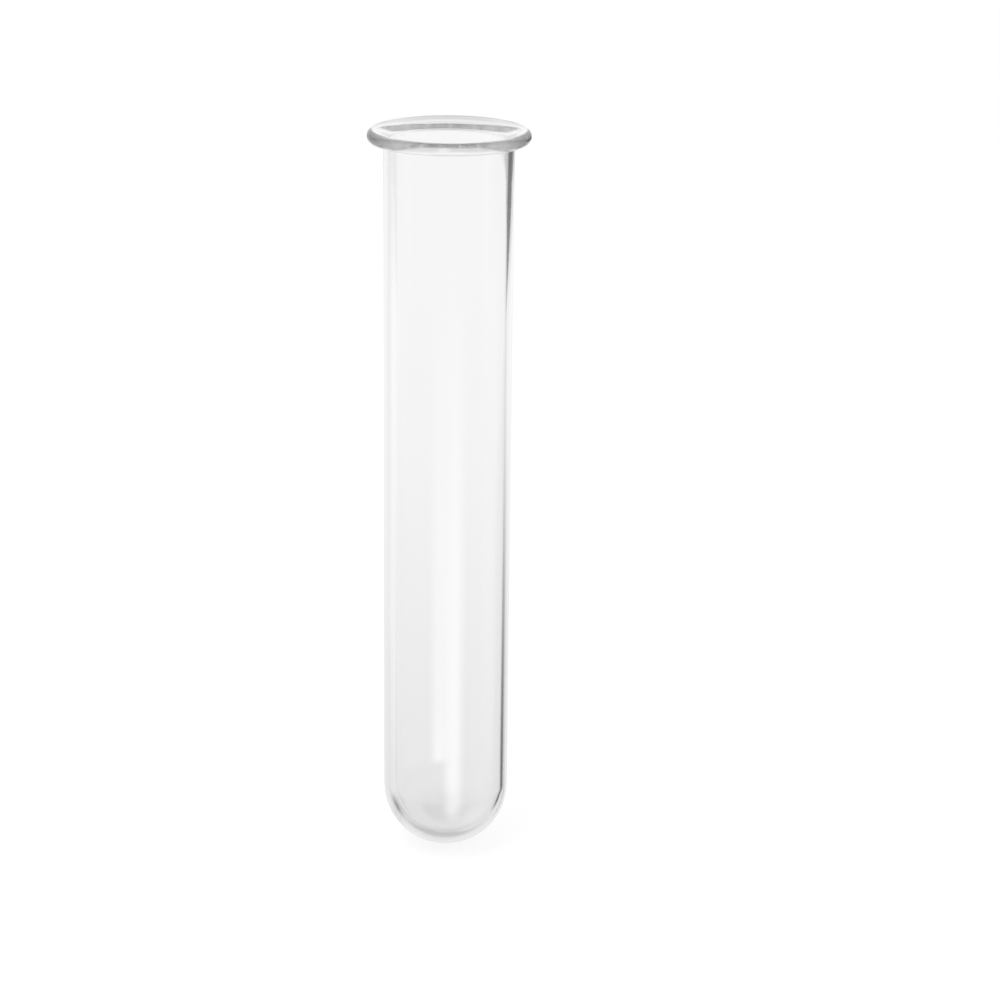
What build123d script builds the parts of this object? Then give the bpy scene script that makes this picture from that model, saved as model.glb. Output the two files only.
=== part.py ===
from build123d import *
import os

# Test tube vase: one piece of clear glass, drawn as a thin tube, closed to a round
# end and turned outwards at the mouth to a rounded lip. It hangs by the lip in a
# ring or a rack and holds water and a stem.
# The origin is the lowest point of the round end, and +Z runs up the tube's axis.

# Overall sizes, in millimetres
overall_height = 110.0
tube_radius = 9.35
lip_radius = 11.7

# Thickness of the glass: the round end is thicker, where the molten glass gathers
wall = 1.0
bottom_wall = 1.45

# Mouth: the neck opens a little where it was softened, and the lip is turned out
neck_swell = 0.12
neck_swell_length = 6.0
neck_straight = 2.0
lip_edge_radius = 0.91
lip_top_flat = 0.1
lip_root_radius = 0.3

# Radii that follow from the sizes above
bore_radius = tube_radius - wall
neck_radius = tube_radius + neck_swell
neck_bore_radius = neck_radius - wall
lip_crest_radius = lip_radius - lip_edge_radius
lip_flare_end = lip_crest_radius - lip_top_flat
mouth_flare_radius = lip_flare_end - neck_bore_radius

# Heights that follow, from the mouth down
lip_underside = overall_height - 2 * lip_edge_radius
lip_root = lip_underside - lip_root_radius
mouth_flare_start = overall_height - mouth_flare_radius
swell_top = mouth_flare_start - neck_straight
swell_bottom = swell_top - neck_swell_length
swell_middle = (swell_top + swell_bottom) / 2


def round_end(radius, lowest):
    """A quarter circle from the axis up to the straight wall."""
    centre = (0, lowest + radius)
    return CenterArc(centre, radius, start_angle=-90, arc_size=90)


def neck_opening(straight_radius):
    """Two arcs that lead the straight wall into the slightly wider neck."""
    bottom = (straight_radius, swell_bottom)
    middle = (straight_radius + neck_swell / 2, swell_middle)
    top = (straight_radius + neck_swell, swell_top)
    outwards = TangentArc(bottom, middle, tangent=(0, 1))
    upright = TangentArc(middle, top, tangent=outwards % 1)
    return outwards, upright


def outside_outline():
    """The outer face from the lowest point up to the widest point of the lip."""
    end = round_end(tube_radius, 0)
    outwards, upright = neck_opening(tube_radius)
    straight = Line(end @ 1, outwards @ 0)
    root = CenterArc(
        (neck_radius + lip_root_radius, lip_root),
        lip_root_radius,
        start_angle=180,
        arc_size=-90,
    )
    neck = Line(upright @ 1, root @ 0)
    edge = CenterArc(
        (lip_crest_radius, lip_underside + lip_edge_radius),
        lip_edge_radius,
        start_angle=-90,
        arc_size=180,
    )
    underside = Line(root @ 1, edge @ 0)
    return [end, straight, outwards, upright, neck, root, underside, edge]


def inside_outline():
    """The bore from its lowest point up, and out over the flare to the lip's flat top."""
    end = round_end(bore_radius, bottom_wall)
    outwards, upright = neck_opening(bore_radius)
    straight = Line(end @ 1, outwards @ 0)
    flare = CenterArc(
        (lip_flare_end, mouth_flare_start),
        mouth_flare_radius,
        start_angle=180,
        arc_size=-90,
    )
    neck = Line(upright @ 1, flare @ 0)
    top = Line(flare @ 1, (lip_crest_radius, overall_height))
    return [end, straight, outwards, upright, neck, flare, top]


def glass_tube():
    """The whole tube, its half section turned once round the axis."""
    pole = Line((0, 0), (0, bottom_wall))
    outline = Curve() + outside_outline() + inside_outline() + pole
    half_section = Plane.XZ * make_face(outline)
    return revolve(half_section, Axis.Z)


tube = glass_tube()
tube.label = "glass_tube"

os.makedirs("parts", exist_ok=True)
export_step(tube, "parts/glass_tube.step")
print("glass volume, mm3:", round(tube.volume, 1))
print("straight outside, from", tube_radius, "up to", round(swell_bottom, 3))
print("straight bore, from", bottom_wall + bore_radius, "up to", round(swell_bottom, 3))
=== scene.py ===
import math

import bpy
from mathutils import Matrix, Vector


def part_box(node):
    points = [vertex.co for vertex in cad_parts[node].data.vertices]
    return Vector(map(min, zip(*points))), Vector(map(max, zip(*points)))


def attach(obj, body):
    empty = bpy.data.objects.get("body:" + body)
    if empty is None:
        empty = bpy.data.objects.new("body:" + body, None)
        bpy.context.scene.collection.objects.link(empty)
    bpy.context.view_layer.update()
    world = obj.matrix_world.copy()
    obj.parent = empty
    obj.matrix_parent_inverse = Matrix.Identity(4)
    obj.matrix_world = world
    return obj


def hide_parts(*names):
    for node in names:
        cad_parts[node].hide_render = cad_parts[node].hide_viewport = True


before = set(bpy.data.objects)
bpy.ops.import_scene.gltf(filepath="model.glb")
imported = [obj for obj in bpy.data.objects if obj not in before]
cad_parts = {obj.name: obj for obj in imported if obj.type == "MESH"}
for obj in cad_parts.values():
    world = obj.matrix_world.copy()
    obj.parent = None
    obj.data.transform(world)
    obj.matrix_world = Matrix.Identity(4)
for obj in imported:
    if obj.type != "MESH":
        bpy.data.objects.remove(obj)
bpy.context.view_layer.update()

# ---- Test tube vase: the glass tube -----------------------------------------------
# The whole object is one piece of clear glass: a drawn tube, closed in the flame to a
# round end and turned outwards at the mouth to a rounded lip. Its half section is
# drawn here as the solid's is, more finely, and turned once round the axis.

_, tube_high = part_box("glass_tube")

# The solid's sizes, but for the neck. It opens by 0.04 mm here and by 0.12 mm there,
# because the dark line below the lip narrows evenly only in a nearly straight neck.
tube_sizes = {
    "Overall Height": tube_high.z,
    "Tube Radius": 0.00935,
    "Lip Radius": tube_high.x,
    "Wall": 0.001,
    "Bottom Wall": 0.00145,
    "Neck Swell": 0.00004,
    "Neck Swell Length": 0.006,
    "Neck Straight": 0.002,
    "Lip Edge Radius": 0.00091,
    "Lip Top Flat": 0.0001,
    "Lip Root Radius": 0.0003,
}
# Facets once round the tube, and along each arc of its section
turn_steps = 180
round_end_steps = 56
swell_steps = 10
flare_steps = 44
lip_edge_steps = 56
lip_root_steps = 16
weld_distance = 1e-6


def number_nodes(tree):
    """Two short ways to handle numbers in a node tree."""

    def feed(socket, value):
        """Sets a socket to a plain number, or links another node's output to it."""
        if isinstance(value, (int, float)):
            socket.default_value = value
        else:
            tree.links.new(value, socket)

    def math_of(operation, a, b=0.0):
        node = tree.nodes.new("ShaderNodeMath")
        node.operation = operation
        feed(node.inputs[0], a)
        feed(node.inputs[1], b)
        return node.outputs[0]

    return feed, math_of


def section_tree():
    """A node tree that draws the half section and turns it round the axis."""
    tree = bpy.data.node_groups.new("turned_glass_tube", "GeometryNodeTree")
    face = tree.interface
    for name in tube_sizes:
        face.new_socket(name, in_out="INPUT", socket_type="NodeSocketFloat")
    face.new_socket("Glass", in_out="INPUT", socket_type="NodeSocketMaterial")
    face.new_socket("Geometry", in_out="OUTPUT", socket_type="NodeSocketGeometry")
    nodes, links = tree.nodes, tree.links
    feed, math_of = number_nodes(tree)
    given = nodes.new("NodeGroupInput")
    size = {name: given.outputs[name] for name in tube_sizes}

    def place(across, up):
        """A point of the section, from its distance to the axis and its height."""
        node = nodes.new("ShaderNodeCombineXYZ")
        feed(node.inputs[0], across)
        feed(node.inputs[1], up)
        return node.outputs[0]

    def arc(centre, radius, start, sweep, steps):
        """Part of a circle in the section, as one strand of it. Angles in radians."""
        node = nodes.new("GeometryNodeCurveArc")
        node.mode = "RADIUS"
        node.inputs["Resolution"].default_value = steps + 1
        feed(node.inputs["Start Angle"], start)
        feed(node.inputs["Sweep Angle"], sweep)
        feed(node.inputs["Radius"], radius)
        moved = nodes.new("GeometryNodeTransform")
        links.new(node.outputs["Curve"], moved.inputs["Geometry"])
        links.new(centre, moved.inputs["Translation"])
        return moved.outputs["Geometry"]

    def line(start, end):
        node = nodes.new("GeometryNodeCurvePrimitiveLine")
        links.new(start, node.inputs["Start"])
        links.new(end, node.inputs["End"])
        return node.outputs["Curve"]

    quarter_turn = math.pi / 2
    height, tube, lip = (size[n] for n in ("Overall Height", "Tube Radius", "Lip Radius"))
    wall, swell = size["Wall"], size["Neck Swell"]
    edge, root = size["Lip Edge Radius"], size["Lip Root Radius"]
    bore = math_of("SUBTRACT", tube, wall)
    neck = math_of("ADD", tube, swell)
    neck_bore = math_of("SUBTRACT", neck, wall)
    crest = math_of("SUBTRACT", lip, edge)
    flare_end = math_of("SUBTRACT", crest, size["Lip Top Flat"])
    flare = math_of("SUBTRACT", flare_end, neck_bore)
    underside = math_of("SUBTRACT", height, math_of("MULTIPLY", edge, 2))
    root_height = math_of("SUBTRACT", underside, root)
    flare_start = math_of("SUBTRACT", height, flare)
    swell_top = math_of("SUBTRACT", flare_start, size["Neck Straight"])
    swell_bottom = math_of("SUBTRACT", swell_top, size["Neck Swell Length"])
    half_rise = math_of("DIVIDE", size["Neck Swell Length"], 2)
    half_swell = math_of("DIVIDE", swell, 2)
    # The arc that rises half_rise while it moves half_swell sideways from upright
    rise_squared = math_of("MULTIPLY", half_rise, half_rise)
    side_squared = math_of("MULTIPLY", half_swell, half_swell)
    swell_arc = math_of("DIVIDE", math_of("ADD", rise_squared, side_squared), swell)
    swell_turn = math_of("ARCSINE", math_of("DIVIDE", half_rise, swell_arc))
    swell_turn_back = math_of("MULTIPLY", swell_turn, -1)

    def opening(straight):
        """The slight S from the straight wall to the neck, as two arcs."""
        low = place(math_of("ADD", straight, swell_arc), swell_bottom)
        high = place(math_of("SUBTRACT", math_of("ADD", straight, swell), swell_arc), swell_top)
        return [
            arc(low, swell_arc, math.pi, swell_turn_back, swell_steps),
            arc(high, swell_arc, swell_turn_back, swell_turn, swell_steps),
        ]

    inner_low = math_of("ADD", size["Bottom Wall"], bore)
    root_side = math_of("ADD", neck, root)
    outside = [
        arc(place(0, tube), tube, -quarter_turn, quarter_turn, round_end_steps),
        line(place(tube, tube), place(tube, swell_bottom)),
        *opening(tube),
        line(place(neck, swell_top), place(neck, root_height)),
        arc(place(root_side, root_height), root, math.pi, -quarter_turn, lip_root_steps),
        line(place(root_side, underside), place(crest, underside)),
        arc(
            place(crest, math_of("ADD", underside, edge)),
            edge,
            -quarter_turn,
            2 * quarter_turn,
            lip_edge_steps,
        ),
    ]
    inside = [
        arc(place(0, inner_low), bore, -quarter_turn, quarter_turn, round_end_steps),
        line(place(bore, inner_low), place(bore, swell_bottom)),
        *opening(bore),
        line(place(neck_bore, swell_top), place(neck_bore, flare_start)),
        arc(place(flare_end, flare_start), flare, math.pi, -quarter_turn, flare_steps),
        line(place(flare_end, height), place(crest, height)),
    ]

    # A small circle carries the section round, so the section is first moved in by the
    # circle's radius, and turned over to stand upright on it
    carrier = 0.002
    ring = nodes.new("GeometryNodeCurvePrimitiveCircle")
    ring.inputs["Resolution"].default_value = turn_steps
    ring.inputs["Radius"].default_value = carrier

    def turned(strands, reverse):
        """The strands turned into one skin, with its faces reversed where asked."""
        joined = nodes.new("GeometryNodeJoinGeometry")
        for strand in strands:
            links.new(strand, joined.inputs[0])
        nearer = nodes.new("GeometryNodeTransform")
        nearer.inputs["Translation"].default_value = (-carrier, 0, 0)
        nearer.inputs["Rotation"].default_value = (math.pi, 0, 0)
        links.new(joined.outputs[0], nearer.inputs["Geometry"])
        swept = nodes.new("GeometryNodeCurveToMesh")
        links.new(ring.outputs["Curve"], swept.inputs["Curve"])
        links.new(nearer.outputs["Geometry"], swept.inputs["Profile Curve"])
        if not reverse:
            return swept.outputs["Mesh"]
        flipped = nodes.new("GeometryNodeFlipFaces")
        links.new(swept.outputs["Mesh"], flipped.inputs["Mesh"])
        return flipped.outputs["Mesh"]

    both = nodes.new("GeometryNodeJoinGeometry")
    links.new(turned(outside, True), both.inputs[0])
    links.new(turned(inside, False), both.inputs[0])
    welded = nodes.new("GeometryNodeMergeByDistance")
    welded.inputs["Distance"].default_value = weld_distance
    links.new(both.outputs[0], welded.inputs["Geometry"])
    smooth = nodes.new("GeometryNodeSetShadeSmooth")
    links.new(welded.outputs["Geometry"], smooth.inputs["Geometry"])
    realized = nodes.new("GeometryNodeRealizeInstances")
    links.new(smooth.outputs["Geometry"], realized.inputs["Geometry"])
    glass = nodes.new("GeometryNodeSetMaterial")
    links.new(realized.outputs["Geometry"], glass.inputs["Geometry"])
    links.new(given.outputs["Glass"], glass.inputs["Material"])
    result = nodes.new("NodeGroupOutput")
    links.new(glass.outputs["Geometry"], result.inputs["Geometry"])
    return tree


# Clear colourless glass. Its surface is fire-polished: only faint lines along the tube
# are left from drawing it, and a trace of haze in patches.
tube_material = bpy.data.materials.new("clear_tube_glass")
glass_colour = (1, 1, 1, 1)
glass_clearness = 1.0
glass_ior = 1.47
glass_absorbed_colour = (0.5, 0.5, 0.5, 1)
glass_absorbed_density = 3.6
# The drawn lines are noise that is stretched up the tube, so its own scale is 1
drawn_line_scale = (260, 260, 26)
drawn_line_noise = {"Scale": 1.0, "Detail": 1.0}
drawn_line_depth = 4e-6
drawn_line_strength = 0.3
haze_scale = 420
haze_from, haze_to = 0.6, 0.8
haze_roughness = 0.02

tube_material.use_nodes = True
shading = tube_material.node_tree
shading.nodes.clear()
on_tube = shading.nodes.new("ShaderNodeTexCoord")
along_tube = shading.nodes.new("ShaderNodeMapping")
along_tube.inputs["Scale"].default_value = drawn_line_scale
shading.links.new(on_tube.outputs["Object"], along_tube.inputs["Vector"])
drawn_lines = shading.nodes.new("ShaderNodeTexNoise")
for name, value in drawn_line_noise.items():
    drawn_lines.inputs[name].default_value = value
shading.links.new(along_tube.outputs["Vector"], drawn_lines.inputs["Vector"])
waviness = shading.nodes.new("ShaderNodeBump")
waviness.inputs["Strength"].default_value = drawn_line_strength
waviness.inputs["Distance"].default_value = drawn_line_depth
shading.links.new(drawn_lines.outputs["Fac"], waviness.inputs["Height"])
haze_patches = shading.nodes.new("ShaderNodeTexNoise")
haze_patches.inputs["Scale"].default_value = haze_scale
shading.links.new(on_tube.outputs["Object"], haze_patches.inputs["Vector"])
haze = shading.nodes.new("ShaderNodeMapRange")
haze.inputs["From Min"].default_value = haze_from
haze.inputs["From Max"].default_value = haze_to
haze.inputs["To Max"].default_value = haze_roughness
shading.links.new(haze_patches.outputs["Fac"], haze.inputs["Value"])
surface = shading.nodes.new("ShaderNodeBsdfPrincipled")
surface.inputs["Base Color"].default_value = glass_colour
surface.inputs["Transmission Weight"].default_value = glass_clearness
surface.inputs["IOR"].default_value = glass_ior
shading.links.new(haze.outputs["Result"], surface.inputs["Roughness"])
shading.links.new(waviness.outputs["Normal"], surface.inputs["Normal"])
depth_of_glass = shading.nodes.new("ShaderNodeVolumeAbsorption")
depth_of_glass.inputs["Color"].default_value = glass_absorbed_colour
depth_of_glass.inputs["Density"].default_value = glass_absorbed_density
shading_end = shading.nodes.new("ShaderNodeOutputMaterial")
shading.links.new(surface.outputs["BSDF"], shading_end.inputs["Surface"])
shading.links.new(depth_of_glass.outputs["Volume"], shading_end.inputs["Volume"])

tree = section_tree()
blank = bpy.data.meshes.new("glass_vessel_blank")
vessel = bpy.data.objects.new("glass_vessel", blank)
bpy.context.scene.collection.objects.link(vessel)
turning = vessel.modifiers.new("turned", "NODES")
turning.node_group = tree
for item in tree.interface.items_tree:
    if item.in_out == "INPUT":
        value = tube_material if item.name == "Glass" else tube_sizes[item.name]
        turning[item.identifier] = value
evaluated = vessel.evaluated_get(bpy.context.evaluated_depsgraph_get())
shape = bpy.data.meshes.new_from_object(evaluated)
shape.name = "glass_vessel"
vessel.modifiers.clear()
vessel.data = shape
# One finish all over, so every face takes the first and only slot
shape.polygons.foreach_set("material_index", [0] * len(shape.polygons))
shape.materials.clear()
shape.materials.append(tube_material)

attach(vessel, "root")
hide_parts("glass_tube")

# ---- Studio floor -----------------------------------------------------------------
# A plain white board under the tube, lit evenly, that keeps the tube's faint shadow.
# It isn't seen through the glass, where the white room's own lower half shows.

floor_reach = 3.0
floor_paint = (0.9, 0.9, 0.9, 1)
floor_own_light = 1.02
floor_light_share = 0.88

floor_mesh = bpy.data.meshes.new("floor")
corners = [(-1, -1), (1, -1), (1, 1), (-1, 1)]
floor_points = [(x * floor_reach, y * floor_reach, 0) for x, y in corners]
floor_mesh.from_pydata(floor_points, [], [(0, 1, 2, 3)])
floor = bpy.data.objects.new("floor", floor_mesh)
bpy.context.scene.collection.objects.link(floor)
floor.visible_glossy = False
floor.visible_transmission = False
floor_material = bpy.data.materials.new("pale_floor")
floor_material.use_nodes = True
floor_tree = floor_material.node_tree
floor_tree.nodes.clear()
matt = floor_tree.nodes.new("ShaderNodeBsdfDiffuse")
matt.inputs["Color"].default_value = floor_paint
glow = floor_tree.nodes.new("ShaderNodeEmission")
glow.inputs["Strength"].default_value = floor_own_light
mixed = floor_tree.nodes.new("ShaderNodeMixShader")
mixed.inputs["Fac"].default_value = floor_light_share
floor_end = floor_tree.nodes.new("ShaderNodeOutputMaterial")
floor_tree.links.new(matt.outputs[0], mixed.inputs[1])
floor_tree.links.new(glow.outputs[0], mixed.inputs[2])
floor_tree.links.new(mixed.outputs[0], floor_end.inputs["Surface"])
floor_mesh.materials.append(floor_material)

# ---- White room -------------------------------------------------------------------
# The glass shows what stands round it, so its lines come from here: a white wall
# behind, greyer sides, a dark ceiling, and dark and lit cards placed round the tube.

# Angles in degrees. Azimuth 0 is straight behind the tube, 90 to its right and 180 at
# the camera; elevation 0 is level. A level of 1 is white. Each wall goes from its lower
# level to its upper one between two elevations.
side_level = {"above": 0.76, "below": 0.7, "from": -22.1, "to": -21.1}
back_level = {"above": 0.95, "below": 0.74, "from": -32.3, "to": -12.7}
back_wall = {"azimuth": 15.4, "half width": 49.7, "softness": 25.9}

# azimuth, half width, elevation, half height, softness sideways, softness up, level
# A later card lies over the earlier ones. The first two go all the way round.
room_cards = {
    "dark ceiling": (0, 200, 75, 28, 20, 16, 0.05),
    "pale band round the walls": (0, 200, 13.2, 14.9, 20, 20, 0.95),
    "grey card high on the right": (134.9, 20.1, 54.7, 12.1, 25, 15, 0.6),
    "grey card high on the left": (-104.9, 40, 50, 15.2, 30, 20, 0.55),
    "grey card right": (64.7, 22.6, -14, 16.4, 9.7, 3.3, 0.61),
    "lit card left": (-98.8, 5.7, -2.8, 12.5, 6, 19.3, 1.11),
    "lamp card in front": (165.3, 13.9, -36.4, 17, 26.2, 14.2, 2.97),
    "low dark card left": (-38.6, 9.9, -39.7, 4.9, 29.9, 10.5, 0.12),
    "low grey card behind": (-7.1, 30.9, -60, 12.4, 24.7, 13.7, 0.5),
    "low dark card right": (38.6, 6, -30, 10.1, 10.9, 8.9, 0),
    "long lit card left": (-66.2, 17.1, -18.4, 6.1, 40, 6, 1.12),
    "long lit card right": (109.5, 29.3, -46.5, 23.2, 39.4, 29.6, 1.12),
}
# Seen straight through the glass, this card would wash out the tube's edge
only_reflected = {"lamp card in front"}
# azimuth, half width, softness sideways, level: two cards that share a slanted lower edge
slanted_cards = {
    "pale slanted card behind right": (39.1, 41.4, 1.8, 0.79),
    "dark slanted card before it": (32.6, 14.1, 15.1, 0.12),
}
# The edge falls by 1 degree in this many degrees to the right. Its own softness and the
# cards' soft upper end are given as the elevations where each begins and ends.
slant = 8.59
slanted_edge = (-9.85, -8.88)
slanted_top = (-7, 1.4)

room = bpy.data.worlds.new("white_room")
bpy.context.scene.world = room
room.use_nodes = True
air = room.node_tree
air.nodes.clear()
feed, math_of = number_nodes(air)
facing = air.nodes.new("ShaderNodeTexCoord")
parts = air.nodes.new("ShaderNodeSeparateXYZ")
air.links.new(facing.outputs["Generated"], parts.inputs[0])


def fade(value, start, stop):
    """1 below start, 0 above stop, both in degrees."""
    node = air.nodes.new("ShaderNodeMapRange")
    node.interpolation_type = "SMOOTHSTEP"
    feed(node.inputs["Value"], value)
    node.inputs["From Min"].default_value = math.radians(start)
    node.inputs["From Max"].default_value = math.radians(stop)
    node.inputs["To Min"].default_value = 1.0
    node.inputs["To Max"].default_value = 0.0
    return node.outputs["Result"]


def blended(share, low, high):
    node = air.nodes.new("ShaderNodeMix")
    node.data_type = "FLOAT"
    feed(node.inputs["Factor"], share)
    feed(node.inputs["A"], low)
    feed(node.inputs["B"], high)
    return node.outputs["Result"]


around = math_of("ARCTAN2", parts.outputs["X"], parts.outputs["Y"])
above = math_of("ARCSINE", parts.outputs["Z"])


def aside(azimuth):
    """How far a direction is turned from that azimuth, either way."""
    whole_turn = 2 * math.pi
    turned_by = math_of("SUBTRACT", around, math.radians(azimuth) - math.pi)
    wrapped = math_of("FLOORED_MODULO", turned_by, whole_turn)
    return math_of("ABSOLUTE", math_of("SUBTRACT", wrapped, math.pi))


def within(distance, half, softness):
    """1 at a smaller distance than half, 0 at a greater one, with a soft edge between."""
    return fade(distance, half - softness / 2, half + softness / 2)


def wall_level(wall):
    return blended(fade(above, wall["from"], wall["to"]), wall["above"], wall["below"])


path = air.nodes.new("ShaderNodeLightPath")
# 1 for light that was reflected on its way, 0 for light that was only let through
in_reflection = math_of("MINIMUM", path.outputs["Glossy Depth"], 1.0)
behind = within(aside(back_wall["azimuth"]), back_wall["half width"], back_wall["softness"])
level = blended(behind, wall_level(side_level), wall_level(back_level))
for name, placing in room_cards.items():
    azimuth, half_width, elevation, half_height, soft_side, soft_up, lit = placing
    off_level = math_of("ABSOLUTE", math_of("SUBTRACT", above, math.radians(elevation)))
    across = within(aside(azimuth), half_width, soft_side)
    card = math_of("MULTIPLY", across, within(off_level, half_height, soft_up))
    if name in only_reflected:
        card = math_of("MULTIPLY", card, in_reflection)
    level = blended(card, level, lit)
slanted = math_of("ADD", above, math_of("DIVIDE", around, slant))
over_edge = math_of("SUBTRACT", 1.0, fade(slanted, *slanted_edge))
slanted_reach = math_of("MULTIPLY", over_edge, fade(above, *slanted_top))
for azimuth, half_width, soft_side, lit in slanted_cards.values():
    card = math_of("MULTIPLY", within(aside(azimuth), half_width, soft_side), slanted_reach)
    level = blended(card, level, lit)

# The camera sees plain white; glass and gloss see the room; matt surfaces get plain light
air_colour = (1, 1, 1, 1)
backdrop_level = 1.0
matt_light = 1.0
plain_air = air.nodes.new("ShaderNodeBackground")
plain_air.inputs["Color"].default_value = air_colour
plain_air.inputs["Strength"].default_value = matt_light
room_air = air.nodes.new("ShaderNodeBackground")
room_air.inputs["Color"].default_value = air_colour
feed(room_air.inputs["Strength"], blended(path.outputs["Is Camera Ray"], level, backdrop_level))
through_glass = math_of(
    "MAXIMUM", path.outputs["Is Glossy Ray"], path.outputs["Is Transmission Ray"]
)
shown = math_of("MAXIMUM", path.outputs["Is Camera Ray"], through_glass)
air_choice = air.nodes.new("ShaderNodeMixShader")
air.links.new(shown, air_choice.inputs["Fac"])
air.links.new(plain_air.outputs[0], air_choice.inputs[1])
air.links.new(room_air.outputs[0], air_choice.inputs[2])
air_end = air.nodes.new("ShaderNodeOutputWorld")
air.links.new(air_choice.outputs[0], air_end.inputs["Surface"])

# ---- Soft lamp --------------------------------------------------------------------
# One broad round lamp above the left of the camera gives the floor its faint shadow.
# The glass doesn't show it, because the room's lit cards already stand for the lamps.

lamp_place = (-0.25, -0.2, 0.7)
lamp_aim = (0, 0, 0.05)
lamp_across = 0.5
lamp_power = 3.0
lamp_data = bpy.data.lights.new("soft_lamp", "AREA")
lamp_data.shape = "DISK"
lamp_data.size = lamp_across
lamp_data.energy = lamp_power
lamp = bpy.data.objects.new("soft_lamp", lamp_data)
lamp.location = lamp_place
lamp.rotation_euler = (Vector(lamp_aim) - lamp.location).to_track_quat("-Z", "Y").to_euler()
bpy.context.scene.collection.objects.link(lamp)
lamp.visible_glossy = False
lamp.visible_transmission = False

# ---- Camera -----------------------------------------------------------------------
# In front of the tube and above its mouth, looking down into it, a little from the left.
# Its place, angles and lens were fitted to the tube's two edges, round end and lip.

camera_back, camera_height = 0.38543, 0.18316
camera_pitch, camera_yaw, camera_roll = (math.radians(a) for a in (18.417, 1.159, 0.695))
# Width of the picture's frame and focal length, in millimetres
camera_frame, camera_lens = 36, 99.01
camera_nearest = 0.01
camera_data = bpy.data.cameras.new("camera")
camera_data.sensor_width = camera_frame
camera_data.lens = camera_lens
camera_data.clip_start = camera_nearest
camera = bpy.data.objects.new("camera", camera_data)
camera.rotation_mode = "QUATERNION"
level_ahead = Vector((math.sin(camera_yaw), math.cos(camera_yaw), 0))
ahead = math.cos(camera_pitch) * level_ahead - Vector((0, 0, math.sin(camera_pitch)))
level_right = Vector((math.cos(camera_yaw), -math.sin(camera_yaw), 0))
level_up = level_right.cross(ahead)
right = math.cos(camera_roll) * level_right + math.sin(camera_roll) * level_up
up = math.cos(camera_roll) * level_up - math.sin(camera_roll) * level_right
turned_camera = Matrix((right, up, -ahead)).transposed().to_4x4()
camera.matrix_world = Matrix.Translation((0, -camera_back, camera_height)) @ turned_camera
bpy.context.scene.collection.objects.link(camera)

scene = bpy.context.scene
scene.camera = camera
scene.view_settings.view_transform = "Standard"
# Light that is caught in the lip runs down the wall and back before it comes out
caught_light_turns = 512
scene.cycles.max_bounces = caught_light_turns
scene.cycles.glossy_bounces = caught_light_turns
scene.cycles.transmission_bounces = caught_light_turns
